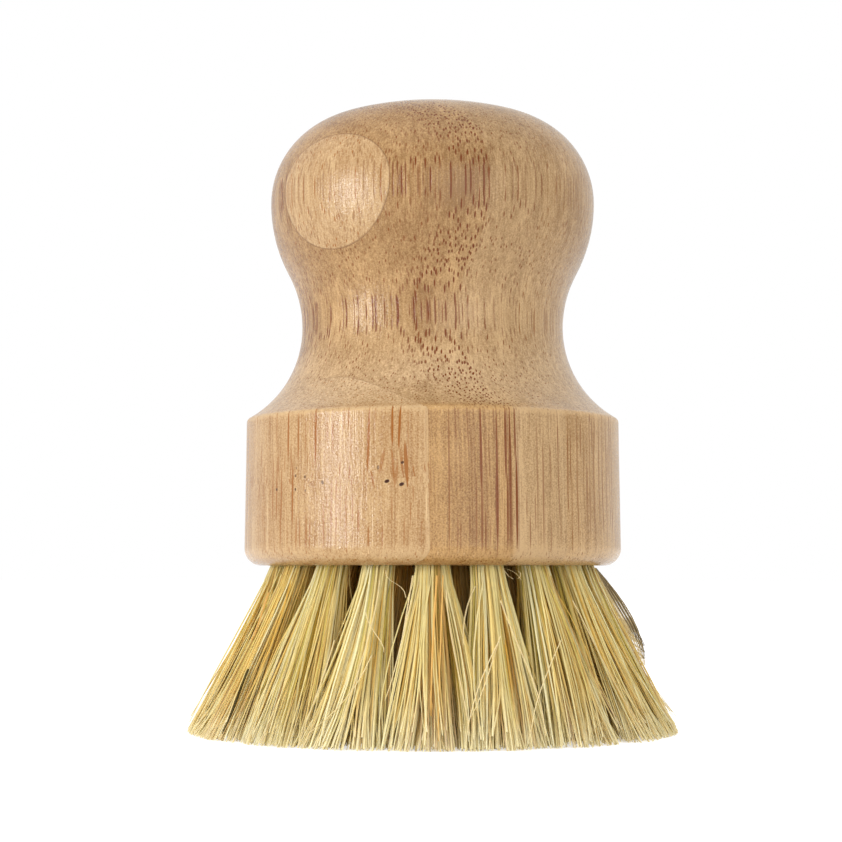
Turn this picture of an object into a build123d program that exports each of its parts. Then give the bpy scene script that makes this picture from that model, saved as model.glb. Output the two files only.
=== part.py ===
from build123d import *

import os
from math import cos, radians, sin, sqrt, tan

# A palm brush: a knob turned from four glued bamboo boards, with 37 fibre
# tufts, each folded over a flat metal anchor in a blind hole in its underside.
# The origin is the centre of the plane that the bristle tips are trimmed to,
# +Z runs up through the knob, and the glue joints are square to Y.

# Sizes in millimetres and degrees

# Turned block, measured up from its drilled face
base_radius = 26.5
base_draft = 0.25
base_side_height = 20.4
base_bottom_round = 2.4
base_top_round = 0.7
base_overhang = 8.0
waist_height = 33.5
neck_depth = 4.5
neck_arc_share = 0.44
belt_height = 51.3
shoulder_radius = 12.6
crown_radius = 47.25

# Bamboo boards: the front glue joint passes in front of the waist, and the
# other boards share the blank's depth behind it, which stood out past the base
joint_standoff = 2.55
blank_allowance = 1.8
boards_behind_joint = 3

# Tuft holes: one in the centre, and rings of 6, 12 and 18, each ring turned half
# a step against the next, so that no gap runs straight through the brush
ring_count = 3
tufts_per_ring_step = 6
first_tuft_angle = -52.0
ring_stagger_share = 0.5
hole_radius = 2.2
hole_depth = 12.0
hole_tilt_step = 6.0
rim_wall = 3.7

# Tufts: each strand stands for a lock of fibres, which spreads towards its tip
trim_height = 23.1
trim_depth = 0.5
tuft_clearance = 0.1
tip_flare = 9.7
tuft_tip_gap = 0.15
strand_overlap = 1.5
strand_wander = 0.25
wander_turn = 137.5
root_fill_share = 0.8
tip_fill_share = 0.55
bend_depth_share = 0.3
bend_power = 1.3
# Places in a square grid of strands: 13 of them fit a round tuft
grid_reach = 2

# Anchors
anchor_thickness = 0.35
anchor_height = 2.2
anchor_bite = 0.45
anchor_clearance = 0.05
anchor_turn = 45.0
fold_thickness = 1.0

# Cuts run past the surfaces that they open by this much
overrun = 2.0

# Worked out from the sizes above
base_top_radius = base_radius - base_draft
waist_radius = base_radius - base_overhang
belt_radius = waist_radius + neck_depth
front_joint_offset = waist_radius + joint_standoff
board_thickness = (front_joint_offset + base_radius + blank_allowance) / boards_behind_joint
outer_ring_radius = base_radius - rim_wall - hole_radius
tip_ring_step = (outer_ring_radius + tip_flare) / ring_count
tuft_radius = hole_radius - tuft_clearance
tuft_height = hole_depth - tuft_clearance
anchor_width = 2 * (hole_radius + anchor_bite)
anchor_top = tuft_height - fold_thickness


def tangent_arc_radius(sideways, along):
    """Radius of an arc that starts in line and has moved sideways after a length along."""
    return (sideways**2 + along**2) / (2 * sideways)


def block_outline():
    """Half section of the turned block, X outward and Y up from the drilled face."""
    # The neck's hollow arc meets the knob's round arc on the line of their centres
    arc_sum = tangent_arc_radius(neck_depth, belt_height - waist_height)
    neck_centre_x = waist_radius + neck_arc_share * arc_sum
    knob_centre_x = neck_centre_x + neck_depth - arc_sum
    meet_x = neck_centre_x + (knob_centre_x - neck_centre_x) * neck_arc_share
    meet_y = waist_height + (belt_height - waist_height) * neck_arc_share

    # The shoulder's arc runs into a crown whose centre is on the axis
    shoulder_x = belt_radius - shoulder_radius
    centre_gap = crown_radius - shoulder_radius
    crown_drop = sqrt(centre_gap**2 - shoulder_x**2)
    crown_x = shoulder_x * crown_radius / centre_gap
    crown_y = belt_height - crown_drop + crown_drop * crown_radius / centre_gap
    top_y = belt_height - crown_drop + crown_radius

    base_corner = (base_top_radius, base_side_height)
    outline = (
        Line((0, 0), (base_radius, 0))
        + Line((base_radius, 0), base_corner)
        + TangentArc((waist_radius, waist_height), base_corner, tangent=(0, -1))
        + TangentArc((waist_radius, waist_height), (meet_x, meet_y), tangent=(0, 1))
        + TangentArc((belt_radius, belt_height), (meet_x, meet_y), tangent=(0, -1))
        + TangentArc((belt_radius, belt_height), (crown_x, crown_y), tangent=(0, 1))
        + TangentArc((0, top_y), (crown_x, crown_y), tangent=(1, 0))
        + Line((0, top_y), (0, 0))
    )
    section = make_face(outline)
    rim = section.vertices().sort_by_distance((base_radius, 0))[0]
    section = fillet(rim, base_bottom_round)
    edge = section.vertices().sort_by_distance(base_corner)[0]
    return fillet(edge, base_top_round)


def tuft_angles(ring):
    """Where the tufts of a ring stand, in degrees about Z; ring 0 is the centre tuft."""
    count = tufts_per_ring_step * ring or 1
    step = 360 / count
    start = first_tuft_angle + step * ring_stagger_share * (ring_count - ring)
    return [start + step * index for index in range(count)]


def hole_mouth(ring):
    """A hole's frame on the +X side: Z runs up into the hole and X points outward."""
    ring_radius = outer_ring_radius * ring / ring_count
    return Pos(ring_radius, 0, trim_height) * Rot(Y=-hole_tilt_step * ring)


def anchor_blank(ring, clearance):
    """An anchor on the +X side, or the space for it, that much larger all round."""
    blank = Box(
        anchor_thickness + 2 * clearance,
        anchor_width + 2 * clearance,
        anchor_height + 2 * clearance,
    )
    seat = Pos(0, 0, anchor_top - anchor_height / 2) * Rot(Z=anchor_turn)
    return hole_mouth(ring) * seat * blank


def drilled_block():
    """The turned block with its holes and the bites that the anchors make beside them."""
    block = Pos(0, 0, trim_height) * revolve(Plane.XZ * block_outline(), Axis.Z)
    drill = Cylinder(
        hole_radius,
        hole_depth + overrun,
        align=(Align.CENTER, Align.CENTER, Align.MIN),
    )
    cuts = []
    for ring in range(ring_count + 1):
        hole = hole_mouth(ring) * Pos(0, 0, -overrun) * drill
        bite = anchor_blank(ring, anchor_clearance)
        for angle in tuft_angles(ring):
            cuts.append(Rot(Z=angle) * hole)
            cuts.append(Rot(Z=angle) * bite)
    return block - cuts


def boards():
    """The block's pieces by name: the glue joints part it into four boards."""
    block = drilled_block()
    reach = base_radius + overrun
    height = block.bounding_box().max.Z + overrun
    joints = [board_thickness * index - front_joint_offset for index in range(boards_behind_joint)]
    limits = [-reach, *joints, reach]
    parts = []
    for low, high in zip(limits, limits[1:]):
        slab = Box(
            2 * reach,
            high - low,
            height,
            align=(Align.CENTER, Align.MIN, Align.MIN),
        )
        parts.append(block & (Pos(0, low, 0) * slab))
    front, middle_front, middle_back, back = parts
    base_piece, knob_piece = front.solids().sort_by(Axis.Z)
    return {
        "front_board_base_piece": base_piece,
        "front_board_knob_piece": knob_piece,
        "middle_board_front": middle_front,
        "middle_board_back": middle_back,
        "back_board": back,
    }


def strand_corners(ring, place, depth):
    """A strand's square section on the +X side, at a depth below the drilled face."""
    column, row, number = place
    down_share = max(depth, 0) / trim_height

    # The tuft leaves its hole in line with it, then bends outward to its tip ring
    ring_radius = outer_ring_radius * ring / ring_count
    slope = tan(radians(hole_tilt_step * ring))
    bow = tip_ring_step * ring - ring_radius - slope * trim_height
    centre_x = ring_radius + slope * depth + bow * down_share**bend_power

    # The grid opens from the hole's round to the tip's, keeping strands apart
    root_pitch = tuft_radius / sqrt((grid_reach + root_fill_share / 2) ** 2 + root_fill_share**2 / 4)
    tip_reach = tip_ring_step / 2 - tuft_tip_gap - strand_wander
    tip_pitch = tip_reach / sqrt((grid_reach + tip_fill_share / 2) ** 2 + tip_fill_share**2 / 4)
    pitch = root_pitch + (tip_pitch - root_pitch) * down_share
    half_width = pitch * (root_fill_share + (tip_fill_share - root_fill_share) * down_share) / 2

    wander_angle = radians(wander_turn * number)
    x = centre_x + column * pitch + strand_wander * down_share * cos(wander_angle)
    y = row * pitch + strand_wander * down_share * sin(wander_angle)
    z = trim_height - depth
    return [
        Vector(x - half_width, y - half_width, z),
        Vector(x + half_width, y - half_width, z),
        Vector(x + half_width, y + half_width, z),
        Vector(x - half_width, y + half_width, z),
    ]


def strand(ring, place):
    """One strand: a four-sided rod with flat faces, from inside the root to past the trim."""
    bend_depth = trim_height * bend_depth_share
    depths = [-strand_overlap, 0, bend_depth, trim_height + trim_depth]
    sections = [strand_corners(ring, place, depth) for depth in depths]
    outlines = [sections[0], sections[-1]]
    for upper, lower in zip(sections, sections[1:]):
        for corner in range(4):
            outlines.append([upper[corner - 1], upper[corner], lower[corner], lower[corner - 1]])
    return Solid(Shell([Face(Wire.make_polygon(outline)) for outline in outlines]))


def tuft(ring):
    """One tuft on the +X side: the root in its hole, and strands trimmed flat at Z = 0."""
    root = hole_mouth(ring) * Pos(0, 0, -overrun) * Cylinder(
        tuft_radius,
        tuft_height + overrun,
        align=(Align.CENTER, Align.CENTER, Align.MIN),
    )
    root = split(root, bisect_by=Plane.XY.offset(trim_height), keep=Keep.TOP)
    root -= anchor_blank(ring, anchor_clearance)

    steps = range(-grid_reach, grid_reach + 1)
    grid = [(column, row) for column in steps for row in steps if column**2 + row**2 <= grid_reach**2]
    strands = [strand(ring, (*place, number)) for number, place in enumerate(grid)]
    return split(root + strands, bisect_by=Plane.XY, keep=Keep.TOP)


def tufts():
    """All the tufts by name, ring by ring."""
    named = {}
    for ring, ring_name in enumerate(["centre", "inner", "middle", "outer"]):
        pattern = tuft(ring)
        for number, angle in enumerate(tuft_angles(ring), start=1):
            name = f"tuft_{ring_name}_{number:02}" if ring else "tuft_centre"
            named[name] = Rot(Z=angle) * pattern
    return named


def anchors():
    """The anchors of all the tufts, as one group of separate solids."""
    group = []
    for ring in range(ring_count + 1):
        anchor = anchor_blank(ring, 0)
        group += [Rot(Z=angle) * anchor for angle in tuft_angles(ring)]
    return {"tuft_anchors": Compound(group)}


def main():
    os.makedirs("parts", exist_ok=True)
    pieces = boards() | tufts() | anchors()
    for name, shape in pieces.items():
        shape.label = name
        export_step(shape, f"parts/{name}.step")
    whole = Compound([solid for shape in pieces.values() for solid in shape.solids()])
    size = whole.bounding_box().size
    print(f"{len(pieces)} pieces, {size.X:.2f} x {size.Y:.2f} x {size.Z:.2f} mm")


main()
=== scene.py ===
from math import cos, pi, radians, sin, tan

import bpy
import numpy as np
from mathutils import Euler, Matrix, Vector


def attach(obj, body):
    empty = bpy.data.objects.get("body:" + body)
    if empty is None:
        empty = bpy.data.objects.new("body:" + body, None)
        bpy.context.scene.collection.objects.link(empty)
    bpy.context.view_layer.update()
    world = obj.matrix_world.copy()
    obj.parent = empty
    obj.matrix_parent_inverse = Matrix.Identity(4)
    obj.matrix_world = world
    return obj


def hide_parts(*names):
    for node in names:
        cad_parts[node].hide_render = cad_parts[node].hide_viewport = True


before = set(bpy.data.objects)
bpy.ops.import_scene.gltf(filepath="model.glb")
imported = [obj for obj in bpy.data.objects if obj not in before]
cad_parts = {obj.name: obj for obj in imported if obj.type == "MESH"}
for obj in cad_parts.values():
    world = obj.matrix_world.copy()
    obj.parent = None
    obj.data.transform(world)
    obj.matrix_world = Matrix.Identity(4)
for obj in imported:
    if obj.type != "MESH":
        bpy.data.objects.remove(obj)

# Palm brush: bamboo block and fibre tufts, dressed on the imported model.
# Lengths in metres unless a name says millimetres, colours linear, angles in degrees
# unless a name says radians.

MM = 0.001


def linear(red, green, blue):
    """A linear colour from its 0 to 255 display values."""
    levels = [value / 255 for value in (red, green, blue)]
    return [v / 12.92 if v <= 0.04045 else ((v + 0.055) / 1.055) ** 2.4 for v in levels]


# Camera
CAMERA_AZIMUTH = 38.0
CAMERA_DISTANCE = 0.28484
CAMERA_HEIGHT = 0.02255
CAMERA_PITCH = 4.22
CAMERA_YAW = 0.33
CAMERA_LENS_MM = 86.07
CAMERA_SENSOR_MM = 36.0
CAMERA_CLIP_START = 0.01

# Light: a small soft lamp left of the camera, broad ones on its right and above, and a
# pale room. Each lamp's azimuth, elevation, width, height and power
LAMPS = {
    "key_lamp": (CAMERA_AZIMUTH - 58, 6.0, 0.11, 0.22, 2.2),
    "fill_lamp": (CAMERA_AZIMUTH + 22, 3.0, 0.5, 0.5, 1.7),
    "top_lamp": (CAMERA_AZIMUTH - 10, 70.0, 0.5, 0.5, 0.5),
}
LAMP_DISTANCE = 0.62
LAMP_AIM_HEIGHT = 0.045
WORLD_LIGHT = 0.75
WHITE = (1.0, 1.0, 1.0, 1.0)
FLOOR_SIZE = 6.0
FLOOR_TONE = (0.88, 0.88, 0.88, 1.0)
FLOOR_GLOW = 0.62

# Block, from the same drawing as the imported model: the glue joints along Y, each with
# how dark it shows, the base's radius, and heights of the front board's bamboo node and
# of the places where the knob and the waist stand upright
GLUE_JOINTS_MM = ((-21.05, 0.6), (-4.60, 0.12), (11.85, 0.12))
BASE_RADIUS_MM = 26.4
NODE_HEIGHT_MM = 34.3
UPRIGHT_HEIGHTS_MM = (56.6, 74.4)

# Below, a ramp is two limits, in millimetres where it measures a place, and the values
# that it gives at the first and at the second

# Grain: slow wandering, and what a bamboo node does to it
DRIFT_SCALE = 0.06
DRIFT_REACH_MM = 1.0
NODE_RAMP = (0.5, 4.0, 1.0, 0.0)
SWIRL_STRETCH = (0.35, 0.35, 0.45)
SWIRL_REACH_MM = 0.8
NODE_EDGE_SCALE = 0.5
NODE_EDGE_REACH_MM = 3.0
NODE_SHIFT_MM = (7.3, 3.1, 0.0)

# Noises of the wood: scale, detail and roughness. The drawn-out ones take only a small
# share of the height, so that they run along the grain
FINE_NOISE = (3.2, 3.0, 0.65)
FINE_HEIGHT_SHARE = 0.03
THREAD_NOISE = (4.5, 1.0, 0.5)
THREAD_HEIGHT_SHARE = 0.02
BROAD_NOISE = (0.9, 2.0, 0.5)
PATCH_NOISE = (0.22, 1.0, 0.5)
BAND_HEIGHT_SHARE = 0.015
MOTTLE_NOISE = (0.14, 3.0, 0.5)
SPECK_NOISE = (4.6, 2.0, 0.7)
SPARKLE_NOISE = (3.0, 2.0, 0.6)

# Their weights in the wood's tone, which runs from 0, dark, to 1, light
MIDDLE_TONE = 0.5
FINE_WEIGHT = 1.1
THREAD_WEIGHT = 0.55
BROAD_WEIGHT = 0.8
MOTTLE_WEIGHT = 0.7
SPECK_WEIGHT_RAMP = (0.0, 1.0, 1.6, 2.3)

# Zones: the base's side, its edges, paler partly from wear and partly as a painted
# highlight, the knob darkened by handling, and the sanded end grain of the skirt and the neck
SIDE_RAMP = (25.5, 26.1, 0.0, 1.0)
WORN_HIGHLIGHT_TOP_RAMP = (42.7, 43.4, 0.0, 1.0)
WORN_HIGHLIGHT_BOTTOM_RAMP = (24.6, 26.4, 0.6, 0.0)
WORN_HIGHLIGHT_JOINT_RAMP = (-21.5, -21.2, 0.0, 1.0)
WORN_HIGHLIGHT_TONE = 0.45
AGED_LIMITS_MM = (56.0, 70.0)
UNAGED_TONE = 0.08
SANDED_FROM_RAMP = (43.4, 44.6, 0.0, 1.0)
SANDED_FADE_RAMP = (47.0, 60.0, 0.7, 0.28)
SANDED_DARK = linear(148, 118, 80)
SANDED_LIGHT = linear(206, 176, 136)
GREY_SHARE = 0.5
GREY_EDGE_MM = 2.5
GREY_TONES = (-0.05, 0.12)

# Pores and hairs: fine columns along the grain. Where the surface stands upright they
# show as dashes, and the wood between them is darker
PORE_SPACING_MM = 0.50
PORE_EDGE_RAMP = (0.08, 0.15, 1.0, 0.0)
PORE_CHANCE_RAMP = (0.0, 0.5, 0.3, 1.0)
PATCH_RAMP = (0.35, 0.65, 0.35, 1.0)
SIDE_PORE_RAMP = (0.0, 1.0, 1.0, 0.45)
LOW_PORE_RAMP = (25.0, 26.5, 0.4, 1.0)
UPRIGHT_LIMITS_MM = (2.2, 3.2)
UPRIGHT_PORE_SHARE = 0.45
UPRIGHT_DARK_RAMP = (2.5, 6.0, 0.24, 0.0)
HAIR_SPACING_MM = 0.40
HAIR_SEED_STEP = 5.3
HAIR_EDGE_RAMP = (0.06, 0.12, 1.0, 0.0)
HAIR_RUN_SEEDS = 60.0
HAIR_RUN_SCALE = 0.13
HAIR_RUN_RAMP = (0.46, 0.52, 0.15, 1.0)
PALE_HAIR_RAMP = (0.1, 0.35, 0.45, 0.0)
PALE_HAIR_TONE = linear(230, 198, 152)
DARK_HAIR_RAMP = (0.3, 0.9, 0.0, 0.9)
COLUMN_SEED_SLOPE = 1.7

# Single marks on the base's side: soft edges, and strokes that wander with the grain
MARK_EDGE = (0.8, 1.2)
STROKE_DRIFT_SHARE = 0.35
STROKE_RAGGED_RAMP = (0.3, 0.55, 0.75, 1.0)
PIT_TONE = linear(56, 22, 4)

# Glue film: a thin dark line round the knob's front, fainter below and here and there
GLUE_TONE = linear(104, 70, 42)
GLUE_EDGE_RAMP = (0.01, 0.08, 1.0, 0.0)
GLUE_HEIGHT_RAMP = (42.0, 60.0, 0.35, 1.0)
GLUE_PATCH_RAMP = (0.3, 0.6, 0.4, 1.0)

# Relief and satin finish: shares of the relief, and its depth
FINE_RELIEF = 0.8
HOLLOW_RELIEF = 0.7
SPARKLE_RELIEF = 1.7
THREAD_RELIEF = 1.5
RELIEF_DEPTH = 0.000032
WOOD_ROUGHNESS_RAMP = (0.3, 0.7, 0.15, 0.27)
WOOD_SPECULAR = 0.29

# Marks on the base's side, as ellipses: degrees right of the camera's side, height,
# half width and half height in millimetres, slant in degrees, strength
FRONT_STROKES = (
    (-59.4, 35.8, 0.11, 1.2, 0, 0.5),
    (-58.7, 26.7, 0.11, 1.6, 0, 0.5),
    (-55.4, 26.6, 0.11, 1.4, 0, 0.5),
    (-54.1, 33.4, 0.12, 4.2, 0, 0.8),
    (-52.0, 33.4, 0.12, 4.2, 0, 0.8),
    (-51.3, 36.0, 0.11, 1.6, 0, 0.55),
    (-51.1, 30.8, 0.11, 1.0, 0, 0.5),
    (-49.6, 32.8, 0.12, 3.7, 0, 0.8),
    (-48.2, 36.7, 0.11, 1.2, 0, 0.6),
    (-46.7, 40.6, 0.18, 3.4, 0, 0.92),
    (-44.5, 32.6, 0.16, 4.2, 0, 0.92),
    (-42.9, 27.5, 0.12, 2.3, 0, 0.8),
    (-42.3, 40.1, 0.15, 3.1, 0, 0.8),
    (-41.4, 27.3, 0.11, 2.1, 0, 0.69),
    (-38.9, 27.5, 0.12, 2.3, 0, 0.8),
    (-38.0, 41.5, 0.11, 1.1, 0, 0.35),
    (-37.5, 27.3, 0.12, 2.1, 0, 0.69),
    (-36.7, 41.5, 0.11, 1.3, 0, 0.4),
    (-35.6, 40.0, 0.18, 3.8, 0, 1),
    (-32.6, 28.3, 0.11, 3.1, 0, 0.57),
    (-31.6, 40.6, 0.11, 1.4, 0, 0.4),
    (-31.5, 31.2, 0.11, 1.3, 0, 0.5),
    (-29.9, 31.1, 0.11, 3.3, 0, 0.6),
    (-29.5, 39.7, 0.11, 2.3, 0, 0.4),
    (-28.4, 31.3, 0.11, 2.3, 0, 0.57),
    (-28.4, 28.2, 0.11, 2.7, 0, 0.6),
    (-27.0, 31.3, 0.11, 3.2, 0, 0.5),
    (-25.9, 42.1, 0.11, 1.5, 0, 0.69),
    (-25.2, 29.3, 0.11, 3.5, 0, 0.57),
    (-24.4, 42.3, 0.11, 1.4, 0, 0.69),
    (-23.7, 39.3, 0.11, 3.0, 0, 0.5),
    (-21.3, 28.9, 0.16, 1.5, 0, 0.8),
    (-19.7, 34.5, 0.11, 1.3, 0, 0.5),
    (-18.3, 39.3, 0.18, 4.2, -2, 0.92),
    (-18.3, 26.8, 0.12, 1.4, 0, 0.69),
    (-17.1, 34.2, 0.15, 1.2, 12, 0.7),
    (-14.3, 36.5, 0.22, 1.6, -12, 0.6),
    (-14.2, 26.8, 0.11, 1.6, 0, 0.57),
    (-11.4, 30.4, 0.11, 1.5, 0, 0.45),
    (-11.3, 41.2, 0.16, 2.7, 0, 1),
    (-11.1, 35.8, 0.15, 2.4, 4, 0.65),
    (-9.2, 41.0, 0.16, 2.8, -3, 1),
    (-8.8, 36.6, 0.15, 1.5, 4, 0.5),
    (-7.9, 27.4, 0.11, 1.9, 0, 0.4),
    (-10.3, 34.6, 0.20, 1.5, -8, 0.5),
    (-7.4, 36.3, 0.26, 2.7, 3, 0.9),
)
MIDDLE_STROKES = (
    (4.6, 34.1, 0.10, 9.5, 0, 0.6),
    (12.3, 29.8, 0.10, 4.6, 0, 0.6),
    (13.7, 38.0, 0.15, 5.4, 0, 1),
    (13.8, 29.0, 0.11, 4.2, 0, 0.8),
    (14.9, 27.7, 0.10, 2.7, 0, 0.7),
    (18.4, 34.1, 0.15, 9.6, 0, 0.95),
    (18.4, 31.4, 0.18, 5.8, 0, 1),
    (21.1, 38.9, 0.17, 4.8, 0, 1),
    (21.5, 30.1, 0.13, 4.8, 0, 0.95),
    (22.4, 34.6, 0.15, 9.2, 0, 1),
    (24.0, 40.2, 0.13, 3.3, 0, 0.8),
    (24.4, 31.5, 0.17, 5.9, 0, 1),
    (27.5, 30.9, 0.10, 1.5, 0, 0.4),
    (28.6, 27.4, 0.11, 2.2, 0, 0.6),
    (30.4, 30.0, 0.10, 2.4, 0, 0.5),
    (31.2, 34.0, 0.11, 8.5, 0, 0.4),
    (33.2, 32.4, 0.12, 6.9, 0, 0.6),
    (38.8, 38.0, 0.11, 5.5, 0, 0.35),
    (39.6, 28.4, 0.12, 2.4, 0, 0.3),
)
BACK_STROKES = (
    (42.9, 37.6, 0.12, 5.1, 0, 0.5),
    (44.4, 31.5, 0.12, 4.2, 0, 0.5),
    (46.9, 34.4, 0.14, 8.8, 0, 0.6),
    (48.5, 40.0, 0.16, 2.4, 0, 0.7),
    (51.2, 32.5, 0.12, 4.2, 0, 0.6),
    (53.0, 34.1, 0.12, 8.5, 0, 0.45),
    (55.2, 34.4, 0.14, 8.8, 0, 0.7),
    (58.2, 34.4, 0.14, 8.8, 0, 0.6),
    (60.5, 35.5, 0.14, 8.1, 0, 0.5),
    (63.4, 34.6, 0.16, 8.7, 0, 0.6),
    (68.2, 34.3, 0.18, 8.7, 0, 0.6),
    (72.1, 34.6, 0.18, 8.5, 0, 0.4),
)
NODE_PITS = (
    (-52.1, 33.2, 0.17, 0.20, 0, 0.9),
    (-43.4, 34.9, 0.15, 0.20, 0, 0.8),
    (-43.4, 33.1, 0.16, 0.20, 0, 0.8),
    (-43.1, 35.9, 0.10, 0.14, 0, 0.6),
    (-39.6, 34.7, 0.17, 0.20, 0, 0.8),
    (-39.4, 32.9, 0.12, 0.16, 0, 0.7),
    (-33.1, 33.9, 0.18, 0.28, 20, 0.8),
    (-15.5, 35.7, 0.14, 0.30, 0, 0.6),
    (-12.9, 33.9, 0.34, 0.22, 20, 1.0),
    (-8.7, 33.5, 0.34, 0.22, 20, 1.0),
    (-8.5, 36.3, 0.22, 0.18, 30, 0.9),
)

# Boards: tones of the wood, of its strokes and of its pores, a seed for its grain, and
# the share of pores. Then, where a board has them: limits along Y between which pores
# are dense, how far handling darkens the knob, the share of hairs on the base's side and
# limits along Y from which the wood is greyer
BOARD_LOOKS = {
    "bamboo_front": {
        "dark": linear(144, 101, 56),
        "light": linear(193, 160, 116),
        "stroke_tone": linear(142, 84, 26),
        "pore_tone": linear(114, 66, 20),
        "seed": 11.0,
        "density": 0.5,
        "aged": 0.0,
        "side_hair": 0.9,
        "has_node": True,
        "strokes": FRONT_STROKES,
        "pits": NODE_PITS,
    },
    "bamboo_middle_front": {
        "dark": linear(130, 91, 47),
        "light": linear(190, 150, 97),
        "stroke_tone": linear(114, 54, 0),
        "pore_tone": linear(106, 46, 0),
        "seed": 23.0,
        "density": 0.35,
        "dense": ((-18.5, -16.0), (-12.4, -11.2)),
        "side_hair": 0.6,
        "grey_from": (-13.0, -12.0),
        "strokes": MIDDLE_STROKES,
    },
    "bamboo_middle_back": {
        "dark": linear(146, 108, 62),
        "light": linear(206, 170, 122),
        "stroke_tone": linear(134, 84, 32),
        "pore_tone": linear(114, 62, 12),
        "seed": 37.0,
        "density": 0.4,
        "strokes": BACK_STROKES,
    },
    "bamboo_back": {
        "dark": linear(148, 104, 52),
        "light": linear(208, 166, 106),
        "stroke_tone": linear(134, 84, 32),
        "pore_tone": linear(114, 62, 12),
        "seed": 53.0,
        "density": 0.4,
    },
}
BOARD_MATERIALS = {
    "front_board_base_piece": "bamboo_front",
    "front_board_knob_piece": "bamboo_front",
    "middle_board_front": "bamboo_middle_front",
    "middle_board_back": "bamboo_middle_back",
    "back_board": "bamboo_back",
}

# Anchors
STEEL_TONE = (0.62, 0.61, 0.58, 1.0)
BRUSHING_STRETCH = (6.0, 6.0, 60.0)
BRUSHING_STRENGTH = 0.2
BRUSHING_DEPTH = 0.00002
STEEL_ROUGHNESS_RAMP = (0.2, 0.8, 0.28, 0.42)

# Tufts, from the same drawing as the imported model
RING_NAMES = ("centre", "inner", "middle", "outer")
SEEDS_PER_RING = 1000
RING_COUNT = 3
TUFTS_PER_RING_STEP = 6
FIRST_TUFT_ANGLE = -52.0
RING_STAGGER_SHARE = 0.5
OUTER_RING_RADIUS = 20.6 * MM
HOLE_RADIUS = 2.2 * MM
HOLE_TILT_STEP = 6.0
TRIM_HEIGHT = 23.1 * MM
TIP_RING_STEP = 10.1 * MM
BEND_POWER = 1.3

# Fibres: number, section and thickness
FIBRES_PER_TUFT = 460
FIBRE_SIDES = 4
FIBRE_DEPTHS = tuple(MM * depth for depth in (-8.4, -1.0, 2.5, 6.5, 11.0, 15.5, 19.5, 23.1))
FIBRE_RADIUS = 0.108 * MM
FIBRE_RADIUS_VARIATION = 0.34
TIP_TAPER = 0.4
TIP_TAPER_POWER = 3

# How they spread from the hole to the tips, and how far they may reach
GOLDEN_TURN_RADIANS = 2.39996
ROOT_JITTER_RADIANS = 0.35
ROOT_WALL_GAP = 1.3 * FIBRE_RADIUS
TIP_SPREAD = 6.6 * MM
TIP_SPREAD_LIMITS = (0.93, 1.07)
SPREAD_POWER = 1.2
OUTWARD_SPREAD_SHARE = 0.86
OUTWARD_SPREAD_LIMIT = 5.9 * MM
TIP_SCATTER = 0.6 * MM
STRAY_SHARE = 0.09
STRAY_SCATTER = 1.5 * MM
TIP_LIMIT = 34.2 * MM
TIP_LIMIT_VARIATION = 0.9 * MM
DRAW_IN_POWER = 1.2

# Locks that draw together, and tufts that lean or, at the sides of the view, splay
LOCKS_PER_TUFT = 8
LOCK_START = 0.6
LOCK_REACH_SHARE = 0.86
LOCK_PULL_LIMITS = (0.05, 0.32)
LEAN = (0.25 * MM, 0.8 * MM)
LEAN_POWER = 1.5
SPLAYED_TUFTS = {
    "tuft_outer_05": 2.2 * MM,
    "tuft_outer_06": 2.2 * MM,
    "tuft_outer_14": 0.4 * MM,
    "tuft_outer_15": 0.4 * MM,
}

# How fibres and locks bow and wave, and how the tips are trimmed
OWN_BOW = 0.32 * MM
STRAY_BOW = 1.2 * MM
LOCK_BOW = 0.5 * MM
OUTWARD_BOW_LIMIT = 0.3 * MM
WAVE_TURN_LIMITS_RADIANS = (5, 12)
WAVE_SIZE = 0.09 * MM
TRIM_RAGGEDNESS = 0.28 * MM
SHORT_FIBRE_SHARE = 0.07
SHORT_FIBRE_LIMITS = (0.4 * MM, 2.4 * MM)

# Fibre tones with their shares. A fibre is deeper gold inside its tuft and on its inner side,
# which is painted shade, browner at the root in the inner rings, also painted shade, and
# paler at its cut tip, partly the cut end's own colour and partly painted light
FIBRE_TONES = (
    (0.44, linear(249, 236, 172)),
    (0.20, linear(250, 243, 198)),
    (0.21, linear(246, 221, 136)),
    (0.11, linear(224, 207, 114)),
    (0.04, linear(206, 168, 94)),
)
LOCK_TONE_SHARE = 0.4
TONE_LIMITS = (0.94, 1.02)
BRIGHTEST_TONE = 0.98
INSIDE_SHADE_TINT = (1.0, 0.80, 0.34)
INSIDE_SHADE_FROM = 0.95
INSIDE_SHADE_FADE = 0.3
BEHIND_SHADE_FROM = 0.1
BEHIND_SHADE_FADE = 0.7
SHADE_TIP_FADE = 0.8
ROOT_SHADE_TINT = (0.70, 0.46, 0.20)
TIP_TONE = linear(254, 248, 222)
TIP_PALE_SHARE = 0.6
TIP_PALE_POWER = 6
FIBRE_CHANGE_STRETCH = (2.5, 2.5, 0.5)
FIBRE_CHANGE_RAMP = (0.3, 0.7, 0.92, 1.0)
FIBRE_TRANSLUCENCY = 0.35
FIBRE_SPECULAR = 0.3
FIBRE_ROUGHNESS = 0.5

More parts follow.
